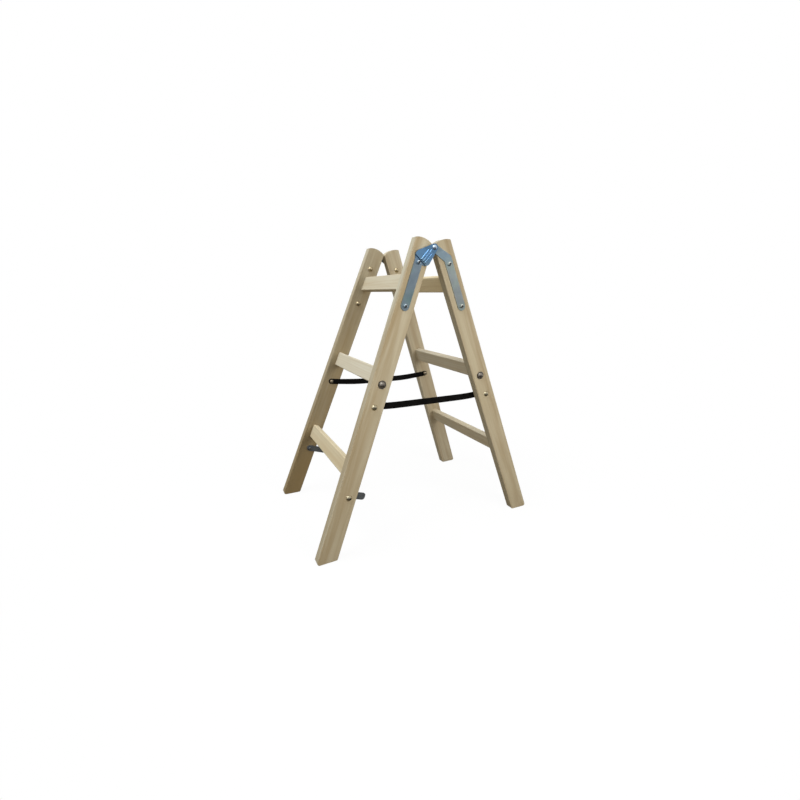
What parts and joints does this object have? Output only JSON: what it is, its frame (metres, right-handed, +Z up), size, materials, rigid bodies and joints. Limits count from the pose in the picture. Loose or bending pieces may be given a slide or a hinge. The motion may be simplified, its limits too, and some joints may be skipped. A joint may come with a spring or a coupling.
{
  "type": "trestle ladder",
  "caption": "Double-sided wooden trestle ladder with splayed stiles, flat rungs, top hinge plates, webbing spread straps and swivelling keeper bars that hold it folded.",
  "frame": {"origin": "on the floor, midway between the four feet, with the ladder standing open", "axes": "+Z up, +X from the front section to the rear section, +Y from the near side to the far side along the hinge line"},
  "size_m": [0.7724, 0.4846, 0.8951],
  "materials": {
    "pine": "planed, clear sealed",
    "steel": "bright plated",
    "zinc": "blue-grey zinc plate",
    "webbing": "woven black",
    "gunmetal": "dark grey, satin"
  },
  "bodies": {
    "front_section": {"front_stile_near": "pine", "front_stile_far": "pine", "front_rung_top": "pine", "front_rung_middle": "pine", "front_rung_bottom": "pine", "front_tie_rod": "steel", "front_tie_washers": "steel", "front_tie_nuts": "steel", "front_hinge_bolts": "steel", "front_strap_bolts": "steel", "front_strap_washers": "steel", "front_strap_nuts": "steel", "keeper_bolts": "steel", "keeper_washers": "steel", "keeper_nuts": "steel", "front_hinge_plate_near": "zinc", "front_hinge_plate_far": "zinc", "hinge_pin_near": "zinc", "hinge_pin_far": "zinc", "front_hinge_nuts": "zinc", "strap_near": "webbing", "strap_far": "webbing"},
    "rear_section": {"rear_stile_near": "pine", "rear_stile_far": "pine", "rear_rung_top": "pine", "rear_rung_middle": "pine", "rear_rung_bottom": "pine", "rear_tie_rod": "steel", "rear_tie_washers": "steel", "rear_tie_nuts": "steel", "rear_hinge_bolts": "steel", "rear_strap_bolts": "steel", "rear_strap_washers": "steel", "rear_strap_nuts": "steel", "rear_hinge_plate_near": "zinc", "rear_hinge_plate_far": "zinc", "rear_hinge_nuts": "zinc"},
    "keeper_near": {"keeper_near": "gunmetal"},
    "keeper_far": {"keeper_far": "gunmetal"}
  },
  "joints": [
    {"name": "fold", "type": "hinge", "parent": "front_section", "child": "rear_section", "pos_m": [0, 0, 0.869], "axis": [0, 1, 0], "range_deg": [0, 40.8], "deforming": ["strap_near", "strap_far"]},
    {"name": "keeper_near_turn", "type": "hinge", "parent": "front_section", "child": "keeper_near", "pos_m": [-0.28478, -0.20268, 0.17898], "axis": [-0.0235, 0.9977, -0.0633], "range_deg": [-28, 92]},
    {"name": "keeper_far_turn", "type": "hinge", "parent": "front_section", "child": "keeper_far", "pos_m": [-0.28478, 0.20268, 0.17898], "axis": [0.0235, 0.9977, 0.0633], "range_deg": [-28, 92]}
  ]
}
